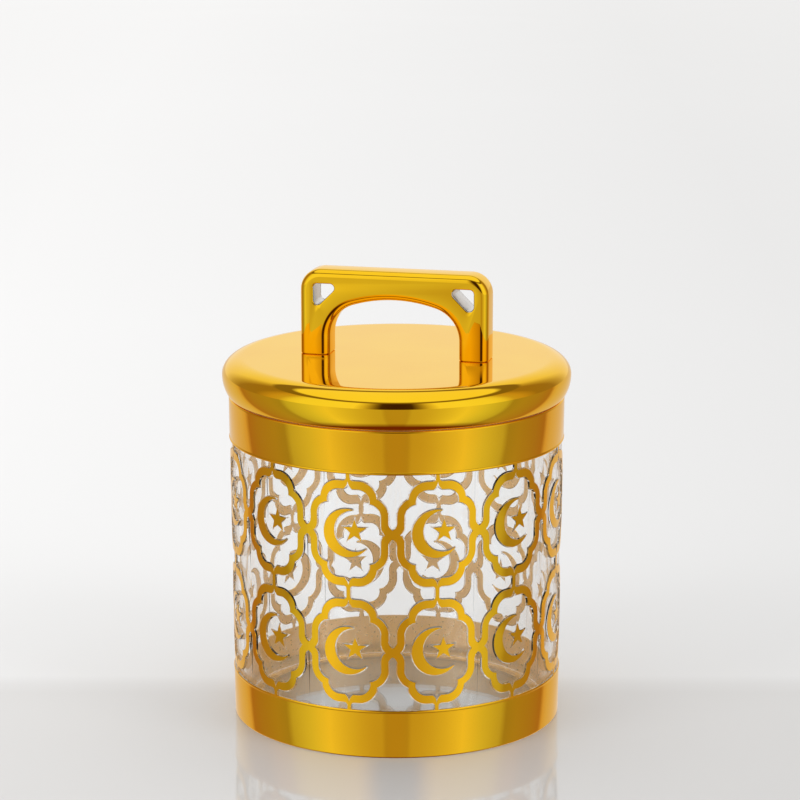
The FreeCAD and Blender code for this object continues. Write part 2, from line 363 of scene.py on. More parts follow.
def fill(bm, roles, part):
    """Fills the outlines with these roles, and marks the faces as a part of the cell."""
    role = bm.edges.layers.int["role"]
    mark = bm.faces.layers.int["part"]
    edges = [edge for edge in bm.edges if edge[role] in roles]
    made = bmesh.ops.triangle_fill(bm, edges=edges, use_beauty=True, normal=(0, -1, 0))
    for face in made["geom"]:
        if isinstance(face, bmesh.types.BMFace):
            face[mark] = part


def draw_crescent(bm, jar, half_width, half_height, segment):
    """The crescent is a disc less a second disc, to the right of it and a little higher."""
    middle, hollow = (
        flat(across * half_width, up * half_height) for across, up in (CRESCENT_MIDDLE, HOLLOW_MIDDLE)
    )
    radius = jar.crescent_radius * half_width
    hollow_radius = jar.hollow_radius * half_width
    along = (hollow - middle).normalized()
    aside = flat(-along.z, along.x)
    apart = (hollow - middle).length
    chord = (apart ** 2 + radius ** 2 - hollow_radius ** 2) / (2 * apart)
    outer = math.acos(chord / radius) + jar.tip_cut / radius
    inner = math.acos((chord - apart) / hollow_radius) + jar.tip_cut / hollow_radius

    def on(centre, reach, angle):
        return centre + (along * math.cos(angle) + aside * math.sin(angle)) * reach

    steps = (
        (on(middle, radius, math.pi), on(middle, radius, -outer)),
        (on(hollow, hollow_radius, -inner),),
        (on(hollow, hollow_radius, math.pi), on(hollow, hollow_radius, inner)),
        (on(middle, radius, outer),),
    )
    draw(bm, on(middle, radius, outer), steps, segment, MOON)
    return hollow


def draw_star(bm, jar, middle, half_width):
    """A star with one point up."""
    tip = jar.star_radius * half_width
    step = math.pi / jar.star_points
    points = []
    for place in range(2 * jar.star_points + 1):
        radius = tip * jar.star_valley if place % 2 else tip
        points.append(middle + flat(math.sin(place * step), math.cos(place * step)) * radius)
    draw(bm, points[0], [(point,) for point in points[1:]], tip, POINTS)


def repeat(bm, steps):
    """Copies a flat mesh by each step, and welds the copies to it."""
    geom = whole(bm)
    for step in steps:
        made = bmesh.ops.duplicate(bm, geom=geom)["geom"]
        bmesh.ops.translate(bm, vec=step, verts=points_of(made))
    weld(bm)


def medallion_cell(jar, cusp):
    """A flat cell of the lowest row in upright strips, with frame, crescent and star over its ground."""
    half_angle = math.pi / jar.columns
    half_width = gilded_radius(jar, (field_low + field_high) / 2) * math.sin(half_angle)
    half_height = cell_height / 2
    segment = 0.5 * MM

    def scaled(shares):
        return [[flat(a * half_width, h * half_height) for a, h in step] for step in shares]

    bm = bmesh.new()
    bm.edges.layers.int.new("role")
    mark = bm.faces.layers.int.new("part")
    outside = scaled(FRAME_OUTSIDE)
    inside = scaled(cusp + FRAME_INSIDE)
    neck = flat(outside[0][-1].x, half_height)
    arm = outside[-1][-1]
    draw(bm, neck, outside, segment, OUTSIDE)
    draw(bm, inside[0][-1], inside[1:], segment, INSIDE)
    draw(bm, flat(0, half_height), [(neck,)], segment, ENDS)
    draw(bm, flat(half_width, 0), [(arm,)], segment, ENDS)
    draw(bm, arm, [(flat(half_width, half_height),), (neck,)], segment, BORDER)
    for axis in ("X", "Z"):
        bmesh.ops.mirror(bm, geom=whole(bm), matrix=Matrix.Identity(4), merge_dist=FUZZ, axis=axis)
    middle = draw_crescent(bm, jar, half_width, half_height, segment)
    draw_star(bm, jar, middle, half_width)
    weld(bm)
    fill(bm, (OUTSIDE, BORDER), GROUND)
    fill(bm, (OUTSIDE, ENDS, INSIDE), FRAME)
    fill(bm, (INSIDE, MOON, POINTS), GROUND)
    fill(bm, (MOON,), CRESCENT)
    fill(bm, (POINTS,), STAR)
    for step in (flat(2 * half_width, 0), flat(0, 2 * half_height)):
        repeat(bm, (-step, step))
    ground = [face for face in bm.faces if face[mark] == GROUND]
    slopes = []
    for width in (jar.clear_edge * jar.shoulder, jar.clear_edge * (1 - jar.shoulder)):
        made = bmesh.ops.inset_region(
            bm, faces=ground, thickness=width, use_even_offset=True, use_boundary=False,
        )
        for face in made["faces"]:
            face[mark] = GROUND
        slopes.append({vert for face in made["faces"] for vert in face.verts})
    tops = {vert for face in bm.faces if face[mark] != GROUND for vert in face.verts}
    for vert in slopes[0] & slopes[1]:
        vert.co.y = -jar.relief * (1 - jar.shoulder_drop)
    for vert in tops:
        vert.co.y = -jar.relief
    for edge in (flat(half_width, 0), flat(0, half_height)):
        for side in (edge, -edge):
            bmesh.ops.bisect_plane(
                bm, geom=whole(bm), dist=FUZZ, plane_co=side, plane_no=side, clear_outer=True,
            )
    for vert in bm.verts:
        if abs(abs(vert.co.x) - half_width) < WELD:
            vert.co.x = math.copysign(half_width, vert.co.x)
        if abs(abs(vert.co.z) - half_height) < WELD:
            vert.co.z = math.copysign(half_height, vert.co.z)
    strips = 12
    for place in range(1, strips):
        angle = half_angle * (2 * place / strips - 1)
        across = half_width * math.sin(angle) / math.sin(half_angle)
        bmesh.ops.bisect_plane(bm, geom=whole(bm), dist=FUZZ, plane_co=(across, 0, 0), plane_no=(1, 0, 0))
    bmesh.ops.translate(bm, vec=(0, 0, field_low + half_height), verts=bm.verts)
    return bm, half_width


def wrap(bm, jar, half_width, lift):
    """Bends flat cells on to the jar's cone, at a height over its ground."""
    lean = math.sin(math.pi / jar.columns) / half_width
    for vert in bm.verts:
        angle = math.asin(max(-1.0, min(1.0, vert.co.x * lean)))
        radius = ground_radius(jar, vert.co.z) - vert.co.y + lift
        vert.co = (radius * math.sin(angle), -radius * math.cos(angle), vert.co.z)


def carry(bm, edges, path):
    """Extrudes a ring of edges along (radius, height) points."""
    for radius, height in path:
        made = bmesh.ops.extrude_edge_only(bm, edges=edges)["geom"]
        verts = set(points_of(made))
        for vert in verts:
            out = outward(vert.co) * radius
            vert.co = (out.x, out.y, height)
        edges = [
            item for item in made
            if isinstance(item, bmesh.types.BMEdge) and verts.issuperset(item.verts)
        ]


def arc(across, up, radius, first, last, count):
    """(radius, height) points along an arc about such a centre, angles in degrees from straight up."""
    angles = [math.radians(first + (last - first) * place / count) for place in range(count + 1)]
    return [(across + radius * math.sin(angle), up + radius * math.cos(angle)) for angle in angles]


def ring_of(bm, height):
    """The open edges at a height."""
    level = 0.01 * MM
    return [
        edge for edge in bm.edges
        if edge.is_boundary and all(abs(vert.co.z - height) < level for vert in edge.verts)
    ]


def relief_tube(jar):
    """The jar's ribbed field, as a tube that is open at the bands."""
    bm, half_width = medallion_cell(jar, RIB_CUSP)
    repeat(bm, (flat(0, cell_height),))
    wrap(bm, jar, half_width, 0)
    bmesh.ops.spin(
        bm, geom=whole(bm), cent=(0, 0, 0), axis=(0, 0, 1), use_duplicate=True,
        angle=TURN * (jar.columns - 1) / jar.columns, steps=jar.columns - 1,
    )
    weld(bm)
    bmesh.ops.rotate(bm, verts=bm.verts, cent=(0, 0, 0), matrix=Matrix.Rotation(jar.ornament_turn, 3, "Z"))
    return bm


def clear_wall(jar):
    """The clear cup: the ribbed field, carried on over the rim to the floor, and over the foot."""
    bm = relief_tube(jar)
    hold = 0.25 * MM
    rim_steps, floor_steps, foot_steps, edge_steps = 4, 8, 5, 3

    def seat(height):
        return gilded_radius(jar, height) - jar.film

    low = jar_top - jar.rim_round
    bore = bore_radius(jar, low)
    corner = jar.floor + jar.floor_round
    reach = bore_radius(jar, corner)
    # Over the upper band, the rim and the bore to the middle of the floor
    carry(bm, ring_of(bm, field_high), [
        (seat(field_high), field_high),
        (seat(field_high), field_high + hold),
        (seat(low), low - hold),
        *arc(seat(low) - jar.rim_round, low, jar.rim_round, 90, 0, rim_steps),
        *arc(bore + jar.rim_round, low, jar.rim_round, 0, -90, rim_steps),
        (bore, low - hold),
        (reach, corner + hold),
        *arc(reach - jar.floor_round, corner, jar.floor_round, 90, 180, floor_steps),
        (reach - jar.floor_round - hold, jar.floor),
        (jar.floor_round, jar.floor),
        (0, jar.floor),
    ])
    outer = seat(jar.foot_round)
    inner = jar.foot_radius - jar.foot_width
    edge = jar.foot_round / 2
    # Over the lower band and the foot to the middle of the underside
    carry(bm, ring_of(bm, field_low), [
        (seat(field_low), field_low),
        (seat(field_low), field_low - hold),
        (outer, jar.foot_round + hold),
        *arc(outer - jar.foot_round, jar.foot_round, jar.foot_round, 90, 180, foot_steps),
        (inner + edge, 0),
        *arc(inner + edge, edge, edge, 180, 270, edge_steps),
        (inner, jar.foot_height - edge),
        *arc(inner - edge, jar.foot_height - edge, edge, 90, 0, edge_steps),
        (inner - edge - hold, jar.foot_height),
        (jar.floor_round, jar.foot_height),
        (0, jar.foot_height),
    ])
    weld(bm)
    bmesh.ops.holes_fill(bm, edges=[edge for edge in bm.edges if edge.is_boundary], sides=8)
    bmesh.ops.recalc_face_normals(bm, faces=bm.faces)
    return bm


def medallion_film(jar, row):
    """The gold on the front medallion's ribs, sunk a little into the plastic."""
    bm, half_width = medallion_cell(jar, GOLD_CUSP)
    mark = bm.faces.layers.int["part"]
    bare = [face for face in bm.faces if face[mark] == GROUND]
    bmesh.ops.delete(bm, geom=bare, context="FACES")
    bmesh.ops.translate(bm, vec=(0, 0, row * cell_height), verts=bm.verts)
    wrap(bm, jar, half_width, -jar.film)
    made = bmesh.ops.extrude_face_region(bm, geom=bm.faces[:], use_keep_orig=True)["geom"]
    for vert in points_of(made):
        vert.co += outward(vert.co) * 2 * jar.film
    bmesh.ops.recalc_face_normals(bm, faces=bm.faces)
    bmesh.ops.rotate(bm, verts=bm.verts, cent=(0, 0, 0), matrix=Matrix.Rotation(jar.ornament_turn, 3, "Z"))
    return bm


# Materials


def shader_of(material):
    """A material's shader."""
    return material.node_tree.nodes["Principled BSDF"]


def finish(name):
    """A new material with its shader and object coordinates."""
    material = bpy.data.materials.new(name)
    material.use_nodes = True
    tree = material.node_tree
    return material, tree, shader_of(material), tree.nodes.new("ShaderNodeTexCoord").outputs["Object"]


def noise(tree, place, scale, detail=2.0):
    """A noise over object coordinates, scale in cells a metre."""
    node = tree.nodes.new("ShaderNodeTexNoise")
    node.inputs["Scale"].default_value = scale
    node.inputs["Detail"].default_value = detail
    tree.links.new(place, node.inputs["Vector"])
    return node.outputs["Fac"]


def spread(tree, value, low, high, first=0.0, last=1.0):
    """A value from low to high, spread from first to last."""
    node = tree.nodes.new("ShaderNodeMapRange")
    for name, number in (("From Min", low), ("From Max", high), ("To Min", first), ("To Max", last)):
        node.inputs[name].default_value = number
    tree.links.new(value, node.inputs["Value"])
    return node.outputs["Result"]


def ramp(tree, value, stops):
    """Colours through stops of (position, colour)."""
    node = tree.nodes.new("ShaderNodeValToRGB")
    elements = node.color_ramp.elements
    while len(elements) < len(stops):
        elements.new(1)
    for element, (position, shade) in zip(elements, stops):
        element.position = position
        element.color = (*shade, 1)
    tree.links.new(value, node.inputs["Fac"])
    return node.outputs["Color"]


def vector_node(tree, operation, place, other=None):
    """A node with a vector operation on a place."""
    node = tree.nodes.new("ShaderNodeVectorMath")
    node.operation = operation
    tree.links.new(place, node.inputs[0])
    if other:
        node.inputs[1].default_value = other
    return node


def finely(tree, shader, place, colours, tint, rough, bump):
    """Varies a shader's colour, roughness and height: each has the scale and detail of its noise first."""
    mixed = ramp(tree, noise(tree, place, *tint), list(zip(NOISE_MIDDLE, colours)))
    tree.links.new(mixed, shader.inputs["Base Color"])
    vary_roughness(tree, shader, place, *rough)
    vary_height(tree, shader, place, *bump)


def vary_roughness(tree, shader, place, scale, detail, low, high):
    """Gives the shader a roughness from low to high."""
    value = spread(tree, noise(tree, place, scale, detail), *NOISE_MIDDLE, low, high)
    tree.links.new(value, shader.inputs["Roughness"])


def vary_height(tree, shader, place, scale, detail, strength, depth):
    """Gives the shader's normal a height."""
    node = tree.nodes.new("ShaderNodeBump")
    node.inputs["Strength"].default_value = strength
    node.inputs["Distance"].default_value = depth
    tree.links.new(noise(tree, place, scale, detail), node.inputs["Height"])
    tree.links.new(node.outputs["Normal"], shader.inputs["Normal"])


def gold(name, colours, rough, bump_scale, bump_depth):
    """Polished gold with a thin lacquer."""
    material, tree, shader, place = finish(name)
    finely(tree, shader, place, colours, (45, 2), (1400, 3, *rough), (bump_scale, 2, 0.4, bump_depth))
    shader.inputs["Metallic"].default_value = 1
    shader.inputs["Specular Tint"].default_value = (1, 0.93, 0.75, 1)
    shader.inputs["Coat Weight"].default_value = 0.12
    shader.inputs["Coat Roughness"].default_value = 0.03
    return material


def clear_plastic(finishes):
    """Clear moulded plastic, with the faint waviness of a moulding."""
    material, tree, shader, place = finish("clear_moulding")
    shader.inputs["Base Color"].default_value = (*finishes.clear, 1)
    shader.inputs["Transmission Weight"].default_value = 1
    shader.inputs["IOR"].default_value = 1.5
    vary_roughness(tree, shader, place, 250, 3, 0.0, 0.02)
    vary_height(tree, shader, place, 70, 2, 0.25, 0.03 * MM)
    return material


def moulded(name, first, rough, grain):
    """Opaque moulded plastic or rubber with a fine grain."""
    material, tree, shader, place = finish(name)
    second = [0.94 * part for part in first]
    finely(tree, shader, place, (first, second), (120, 3), (900, 3, *rough), (grain, 3, 0.3, 0.02 * MM))
    return material


def metal(name, first, rough, grain):
    """Bare metal with a fine grain."""
    material, tree, shader, place = finish(name)
    second = [0.85 * part for part in first]
    finely(tree, shader, place, (first, second), (400, 3), (1500, 3, *rough), (grain, 3, 0.2, 0.01 * MM))
    shader.inputs["Metallic"].default_value = 1
    return material


def plate(finishes):
    """Gold plate of the cover and the handle."""
    made = bpy.data.materials.get("plated_gold")
    colours = (finishes.gold, finishes.gold_warm)
    return made or gold("plated_gold", colours, (0.012, 0.035), 110, 0.012 * MM)


def foil(finishes):
    """Stamped gold foil of the bands and medallions."""
    made = bpy.data.materials.get("stamped_gold")
    colours = (finishes.foil, finishes.foil_warm)
    return made or gold("stamped_gold", colours, (0.03, 0.07), 260, 0.02 * MM)


def foil_back_and_glow(finishes):
    """Lacquered back of the foil, with a painted glow in place of the light that reaches it through the clear
    wall.
    """
    made = bpy.data.materials.get("foil_back_and_glow")
    if made:
        return made
    material = moulded("foil_back_and_glow", finishes.foil_back_and_glow, (0.25, 0.40), 600)
    shader = shader_of(material)
    shader.inputs["Metallic"].default_value = 0.7
    # Painted glow: the back gives off light of its own colour, standing in for the light that reaches it
    # through the clear wall
    shader.inputs["Emission Color"].default_value = (*finishes.foil_back_and_glow, 1)
    shader.inputs["Emission Strength"].default_value = 0.22
    return material


# Operators


class ClearWall(bpy.types.Operator):
    """Build the clear jar with its raised ribs"""

    bl_idname = "snack_jar.clear_wall"
    bl_label = "Clear wall"

    sharp = 22
    # How squarely a face looks at the axis or away from it, to count as wall
    upright = 0.9

    def execute(self, context):
        jar = context.scene.snack_jar_sizes
        material = clear_plastic(context.scene.snack_jar_finishes)
        bm = clear_wall(jar)
        wall = piece("clear_wall", bm, "jar", ["jar_body"], [material], self.sharp)
        self.even_out(wall.data)
        return {"FINISHED"}

    def even_out(self, mesh):
        """Gives the ground between the ribs and the bore the even normals of a round wall."""
        normals = []
        for face in mesh.polygons:
            facing = face.normal.dot(outward(face.center))
            side = math.copysign(1, facing) if abs(facing) > self.upright else 0
            for corner in face.vertices:
                normals.append(outward(mesh.vertices[corner].co) * side)
        mesh.normals_split_custom_set(normals)


class Medallions(bpy.types.Operator):
    """Lay the gold film on every medallion's ribs"""

    bl_idname = "snack_jar.medallions"
    bl_label = "Medallions"

    def execute(self, context):
        jar = context.scene.snack_jar_sizes
        finishes = context.scene.snack_jar_finishes
        materials = [foil(finishes), foil_back_and_glow(finishes)]
        step = Matrix.Rotation(TURN / jar.columns, 3, "Z")
        for row, row_name in enumerate(ROWS):
            film = medallion_film(jar, row)
            mark_backs(film)
            for column in range(jar.columns):
                place = f"{row_name}_{column + 1:02d}"
                node = f"medallion_{place}"
                piece(f"gold_{node}", film.copy(), "jar", [node], materials)
                bmesh.ops.rotate(film, verts=film.verts, cent=(0, 0, 0), matrix=step)
            film.free()
        return {"FINISHED"}


class Bands(bpy.types.Operator):
    """Wrap the gold bands round the rim and the foot"""

    bl_idname = "snack_jar.bands"
    bl_label = "Bands"

    # Degrees that a band follows the jar's roundings
    foot_sweep = 55
    rim_sweep = 90
    groove_width = 0.12 * MM
    groove_depth = 0.03 * MM
    groove_slope = 0.1 * MM
    segment = 0.12 * MM

    def execute(self, context):
        jar = context.scene.snack_jar_sizes
        finishes = context.scene.snack_jar_finishes
        bands = (
            ("lower", self.band(jar, field_low, -1, jar.foot_round, jar.foot_round, self.foot_sweep)),
            ("upper", self.band(jar, field_high, 1, jar_top - jar.rim_round, jar.rim_round, self.rim_sweep)),
        )
        materials = [foil(finishes), foil_back_and_glow(finishes)]
        for name, bm in bands:
            mark_backs(bm)
            piece(f"gold_{name}_band", bm, "jar", [f"{name}_band_foil"], materials)
        return {"FINISHED"}

    def band(self, jar, edge, side, turn, radius, sweep):
        """A band with a fine bead along one edge. The other edge follows the jar's rounding by an angle."""
        bead = edge + side * jar.bead
        groove = edge + side * (jar.bead + self.groove_width)
        back = 2 * jar.film
        middle = flat(gilded_radius(jar, turn) - jar.film - radius, turn)

        def out(height, rise=0):
            return flat(gilded_radius(jar, height) + rise, height)

        def over(angle, rise):
            angle = math.radians(angle)
            return middle + flat(math.cos(angle), side * math.sin(angle)) * (radius + rise)

        steps = (
            (out(edge, 0),),
            (out(edge + side * jar.bead / 2, jar.bead_rise), out(bead, -self.groove_depth)),
            (out(groove, -self.groove_depth),),
            (out(groove + side * self.groove_slope),),
            (over(0, jar.film),),
            (over(sweep / 2, jar.film), over(sweep, jar.film)),
            (over(sweep, -jar.film),),
            (over(sweep / 2, -jar.film), over(0, -jar.film)),
            (out(edge, -back),),
        )
        bm = bmesh.new()
        draw(bm, out(edge, -back), steps, self.segment)
        return spun(bm)


class Cover(bpy.types.Operator):
    """Spin the plated lid cover"""

    bl_idname = "snack_jar.cover"
    bl_label = "Lid cover"

    def execute(self, context):
        lid = context.scene.snack_jar_lid
        material = plate(context.scene.snack_jar_finishes)
        piece("plated_cover", self.cover(lid), "lid", ["lid_cover"], [material])
        return {"FINISHED"}

    def cover(self, lid):
        """A hollow shell with a bulging edge and a flat top."""
        low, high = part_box("lid_cover")
        widest = high.x
        level = high.z - lid.crown
        shoulder = widest - lid.crown_run
        edge = widest - lid.edge_inset
        belly = (lid.edge_inset ** 2 + lid.belly ** 2) / (2 * lid.edge_inset)
        sweep = math.asin((lid.belly - lid.under_round) / belly)
        under_radius = lid.under_round / (1 - math.sin(sweep))
        pivot = flat(widest - belly, level)
        under_pivot = pivot + flat(math.cos(sweep), -math.sin(sweep)) * (belly - under_radius)

        def below(centre, radius, angle):
            return centre + flat(math.cos(angle), -math.sin(angle)) * radius

        bm = bmesh.new()
        segment = 0.35 * MM
        slant = math.sqrt(0.5) * lid.crown_run
        draw(bm, flat(0, high.z), [(flat(shoulder - MM, high.z),), (flat(shoulder, high.z),)], segment)
        crown = draw(
            bm, flat(shoulder, level + lid.crown_run),
            [(flat(shoulder + slant, level + slant), flat(widest, level))], segment,
        )
        bmesh.ops.scale(
            bm, vec=(1, 1, lid.crown / lid.crown_run), space=Matrix.Translation((0, 0, -level)),
            verts=list({vert for rim in crown for vert in rim.verts}),
        )
        under = high.z - lid.wall
        draw(bm, flat(widest, level), [
            (below(pivot, belly, sweep / 2), below(pivot, belly, sweep)),
            (below(under_pivot, under_radius, (sweep + math.pi / 2) / 2), flat(under_pivot.x, low.z)),
            (flat(edge - lid.lip, low.z),),
            (flat(edge - lid.lip, level),),
            (flat(shoulder, under),),
            (flat(0, under),),
        ], segment)
        return spun(bm)


class Handle(bpy.types.Operator):
    """Build the plated handle with its two windows"""

    bl_idname = "snack_jar.handle"
    bl_label = "Lid handle"

    sharp = 30
    round_steps = 8
    bevel_steps = 3
    # Angle over which an edge of a window is bevelled
    bevel_angle = 60

    def execute(self, context):
        lid = context.scene.snack_jar_lid
        finishes = context.scene.snack_jar_finishes
        silver = metal("window_silver", finishes.silver, (0.12, 0.22), 800)
        handle = piece(
            "plated_handle", self.arch(lid), "lid", ["lid_handle"],
            [plate(finishes), silver], self.sharp,
        )
        self.cut_windows(context, lid, handle)
        return {"FINISHED"}

    def arch(self, lid):
        """The arch without its windows: an outline extruded through its depth, with its edges rounded."""
        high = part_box("lid_handle")[1]
        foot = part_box("lid_cover")[1].z
        half = high.x
        depth = high.y
        opening = half - lid.leg_width
        apex = high.z - lid.bar_height
        spring = apex - lid.arch_rise
        offset = opening - lid.haunch
        crown = (offset ** 2 + lid.arch_rise ** 2 - lid.haunch ** 2) / (2 * (lid.arch_rise - lid.haunch))
        lean = math.atan2(offset, spring - apex + crown)

        def on_haunch(side, angle):
            return flat(side * (offset + lid.haunch * math.sin(angle)), spring + lid.haunch * math.cos(angle))

        bulge = (lean + math.pi / 2) / 2
        corner = lid.corner
        slant = corner * (1 - math.sqrt(0.5))
        steps = (
            (flat(half, high.z - corner),),
            (flat(half - slant, high.z - slant), flat(half - corner, high.z)),
            (flat(-half + corner, high.z),),
            (flat(-half + slant, high.z - slant), flat(-half, high.z - corner)),
            (flat(-half, foot),),
            (flat(-opening, foot),),
            (flat(-opening, spring),),
            (on_haunch(-1, bulge), on_haunch(-1, lean)),
            (flat(0, apex), on_haunch(1, lean)),
            (on_haunch(1, bulge), flat(opening, spring)),
            (flat(opening, foot),),
            (flat(half, foot),),
        )
        bm = bmesh.new()
        segment = 0.5 * MM
        draw(bm, flat(half, foot), steps, segment)
        slab(bm, depth)
        rims = [
            edge for edge in bm.edges
            if abs(edge.verts[0].co.y - edge.verts[1].co.y) < FUZZ
            and any(vert.co.z > foot + FUZZ for vert in edge.verts)
        ]
        bmesh.ops.bevel(
            bm, geom=rims, offset=lid.edge, offset_type="OFFSET", affect="EDGES",
            segments=self.round_steps, profile=0.5, material=-1,
        )
        return bm

    def cut_windows(self, context, lid, handle):
        """Cuts a rounded triangle through each upper corner, and bevels its edges."""
        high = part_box("lid_handle")[1]
        corner = high.x - lid.window_margin
        top = high.z - lid.window_margin
        segment = 0.3 * MM
        bm = bmesh.new()
        for side in (-1, 1):
            start, steps = rounded_steps([
                (side * corner, top, lid.window_round),
                (side * (corner - lid.window_leg), top, lid.window_round),
                (side * corner, top - lid.window_leg, lid.window_round),
            ])
            draw(bm, start, steps, segment)
        slab(bm, 2 * high.y)
        for face in bm.faces:
            face.material_index = 1
        mesh = stored("window_cutter", bm)
        for material in handle.data.materials:
            mesh.materials.append(material)
        cutter = bpy.data.objects.new("window_cutter", mesh)
        context.scene.collection.objects.link(cutter)
        cut = handle.modifiers.new("windows", "BOOLEAN")
        cut.operation = "DIFFERENCE"
        cut.solver = "EXACT"
        cut.object = cutter
        edge = handle.modifiers.new("window_edges", "BEVEL")
        edge.width = lid.window_edge
        edge.segments = self.bevel_steps
        edge.limit_method = "ANGLE"
        edge.angle_limit = math.radians(self.bevel_angle)
        context.view_layer.update()
        done = handle.evaluated_get(context.evaluated_depsgraph_get())
        mesh = bpy.data.meshes.new_from_object(done)
        handle.modifiers.clear()
        handle.data = mesh
        mesh.name = "plated_handle"
        smooth(mesh, self.sharp)
        bpy.data.objects.remove(cutter)


class Fittings(bpy.types.Operator):
    """Finish the liner, the seal and the handle's fixings"""

    bl_idname = "snack_jar.fittings"
    bl_label = "Lid fittings"

    def execute(self, context):
        finishes = context.scene.snack_jar_finishes
        steel = metal("zinc_steel", finishes.steel, (0.22, 0.38), 900)
        finished = {
            "lid_liner": moulded("satin_liner", finishes.liner, (0.30, 0.42), 1500),
            "seal_ring": moulded("soft_seal", finishes.seal, (0.50, 0.65), 2200),
            "handle_screws": steel,
            "handle_washers": steel,
        }
        for node, material in finished.items():
            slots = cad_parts[node].data.materials
            slots.clear()
            slots.append(material)
        return {"FINISHED"}


class Stage(bpy.types.Operator):
    """Set the table, the light and the camera"""

    bl_idname = "snack_jar.stage"
    bl_label = "Stage"

    camera_azimuth = 13.3
    camera_distance = 937.13 * MM
    camera_height = 311.05 * MM
    camera_pitch = 12.96
    focal_pixels = 3226.43
    frame_pixels = 800
    axis_pixels = 3.35
    # What gloss shows of the room and the table: (degrees from the front, level, tint)
    room_levels = (
        (180, 1.00, 0.99), (150, 0.95, 0.95), (136, 0.60, 0.85), (124, 0.36, 0.70), (104, 0.36, 0.70),
        (90, 0.62, 0.72), (82, 0.64, 0.82), (74, 0.90, 1.00), (66, 1.00, 1.05), (45, 1.05, 1.05),
        (28, 1.05, 1.00), (21, 0.70, 0.90), (14, 0.24, 0.75), (10, 0.06, 0.50), (0, 0.05, 0.40),
    )
    table_levels = (
        (180, 0.80, 0.90), (132, 0.75, 0.85), (126, 0.72, 0.76), (121, 0.44, 0.58), (110, 0.44, 0.71),
        (92, 0.45, 0.83), (82, 0.41, 0.90), (77, 0.58, 1.05), (62, 0.74, 1.08), (47, 0.95, 1.00),
        (30, 0.74, 0.97), (14, 0.62, 0.90), (9, 0.60, 0.90), (7, 0.50, 0.82), (0, 0.52, 0.80),
    )
    # The same over the soft boxes: (sine of the height, level, tint)
    ceiling_levels = ((0.00, 0.25, 0.75), (0.79, 0.25, 0.75), (0.82, 1.05, 1.00), (1.00, 1.05, 1.00))
    # What the camera sees of the table: painted light that falls off towards the camera, with a step a little
    # behind the jar's middle: (metres behind the jar, level, tint)
    painted_depth_levels = (
        (-0.08, 0.63, 0.99), (0.019, 0.66, 0.99), (0.024, 0.77, 1.00), (0.16, 0.81, 1.00), (0.41, 0.84, 1.00),
        (0.94, 0.88, 1.00), (2.07, 0.95, 1.00),
    )
    plain_light = (0.80, 0.80, 0.80, 1)
    # Painted reflection of the jar's gold band in the table, with its shade, for gloss looking steeply down
    under_reflection_colour = (0.16, 0.03, 0.004, 1)
    # Sines of the heights between which the painted reflection and shade under the jar, the table and the
    # walls end
    under_reflection_edge = (-0.92, -0.80)
    table_edge = (-0.02, 0.02)
    wall_edge = (0.68, 0.71)
    floor_size = 4
    floor_drop = 0.05 * MM
    # Shares of the table's level at this reach to the left and to the right of the jar: painted light,
    # brighter to the left
    side_reach = 0.2
    painted_side_shares = (1.10, 0.86)
    aim_height = 0.06
    # Degrees to the right of the camera, distance, height, width, depth and watts
    soft_boxes = (
        ("left_box", -52, 1.2, 0.6, 0.5, 1.15, 4.0),
        ("right_box", 52, 1.2, 0.6, 0.5, 1.15, 4.0),
        ("top_box", 180, 0.35, 1.4, 1.2, 0.7, 3.0),
    )

    def execute(self, context):
        finishes = context.scene.snack_jar_finishes
        context.scene.view_settings.view_transform = "Standard"
        self.set_camera(context)
        self.set_world(context, finishes)
        self.set_floor(context)
        self.set_lamps(context)
        return {"FINISHED"}

    def towards(self, azimuth, distance, height):
        """A point around the jar, azimuth in degrees to the right of the camera."""
        angle = math.radians(self.camera_azimuth + azimuth)
        return Vector((math.sin(angle) * distance, -math.cos(angle) * distance, height))

    def set_camera(self, context):
        data = bpy.data.cameras.new("camera")
        data.sensor_width = 36
        data.lens = data.sensor_width * self.focal_pixels / self.frame_pixels
        data.shift_x = self.axis_pixels / self.frame_pixels
        data.clip_start = 0.01
        camera = bpy.data.objects.new("camera", data)
        camera.location = self.towards(0, self.camera_distance, self.camera_height)
        camera.rotation_euler = (math.radians(90 - self.camera_pitch), 0, math.radians(self.camera_azimuth))
        context.scene.collection.objects.link(camera)
        context.scene.camera = camera

    def along(self, tree, place, direction):
        """How far a place lies in a direction."""
        return vector_node(tree, "DOT_PRODUCT", place, direction).outputs["Value"]

    def levels(self, tree, value, stops):
        """Colours through stops of (position, level, tint): a tint under 1 is warm."""
        shades = [(position, (level, level * tint, level * tint * tint)) for position, level, tint in stops]
        return ramp(tree, value, shades)

    def levels_round(self, tree, place, stops):
        """Colours through stops of (degrees from the front, level, tint) around the jar."""
        level = vector_node(tree, "MULTIPLY", place, (1, 1, 0)).outputs["Vector"]
        unit = vector_node(tree, "NORMALIZE", level).outputs["Vector"]
        front = self.along(tree, unit, self.towards(0, 1, 0))
        shares = [((math.cos(math.radians(angle)) + 1) / 2, *rest) for angle, *rest in stops]
        return self.levels(tree, spread(tree, front, -1, 1), shares)

    def of_rays(self, tree, operation, *kinds):
        """A clamped operation on what the light path says of two kinds of ray."""
        path = tree.nodes.new("ShaderNodeLightPath")
        node = tree.nodes.new("ShaderNodeMath")
        node.operation = operation
        node.use_clamp = True
        for socket, kind in zip(node.inputs, kinds):
            tree.links.new(path.outputs[f"Is {kind} Ray"], socket)
        return node.outputs[0]

    def joined(self, tree, factor, first, second):
        """Two colours, mixed by a factor. The first may be a plain colour."""
        node = tree.nodes.new("ShaderNodeMix")
        node.data_type = "RGBA"
        tree.links.new(factor, node.inputs["Factor"])
        if isinstance(first, tuple):
            node.inputs["A"].default_value = first
        else:
            tree.links.new(first, node.inputs["A"])
        tree.links.new(second, node.inputs["B"])
        return node.outputs["Result"]

